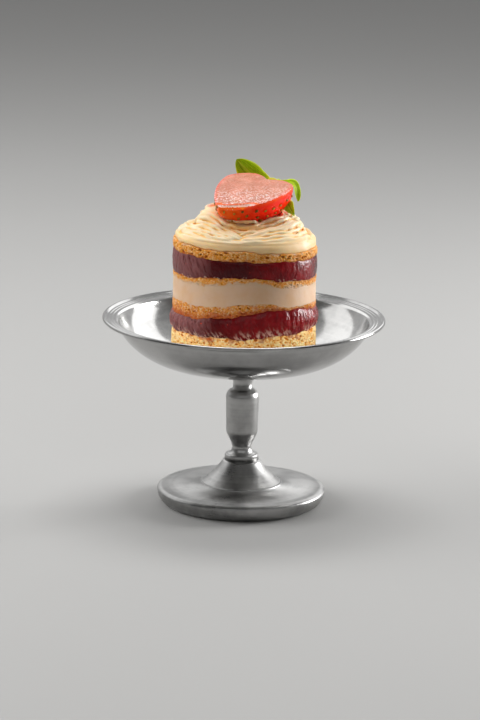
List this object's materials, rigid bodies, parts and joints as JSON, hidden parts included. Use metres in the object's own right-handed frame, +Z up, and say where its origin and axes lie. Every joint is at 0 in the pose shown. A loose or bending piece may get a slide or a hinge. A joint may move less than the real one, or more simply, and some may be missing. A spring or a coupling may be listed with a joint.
{
  "type": "mini cake",
  "caption": "Round mini layer cake of sponge, jam and cream with piped cream and a strawberry half on top, standing in a footed metal dish.",
  "frame": {"origin": "middle of the ring that the dish's foot rests on, at the bottom", "axes": "+Z up along the axis of the dish and the cake, -Y towards the front of the cake, +X to its right"},
  "size_m": [0.128, 0.128, 0.1551],
  "materials": {
    "steel": "satin polish with fine turning lines",
    "sponge": "golden open crumb with browned pits, dry",
    "jam": "dark red, wet and glossy",
    "cream": "ivory, soft satin",
    "strawberry": "glossy red skin with small seeds, wet salmon-pink cut face",
    "leaf": "yellow-green, satin"
  },
  "bodies": {
    "root": {"dish_foot": "steel", "dish_stem": "steel", "dish_bowl": "steel", "sponge_bottom": "sponge", "jam_lower": "jam", "sponge_lower": "sponge", "cream_middle": "cream", "sponge_thin": "sponge", "jam_upper": "jam", "sponge_top": "sponge", "cream_top": "cream", "strawberry_half": "strawberry", "calyx": "leaf"}
  },
  "joints": []
}
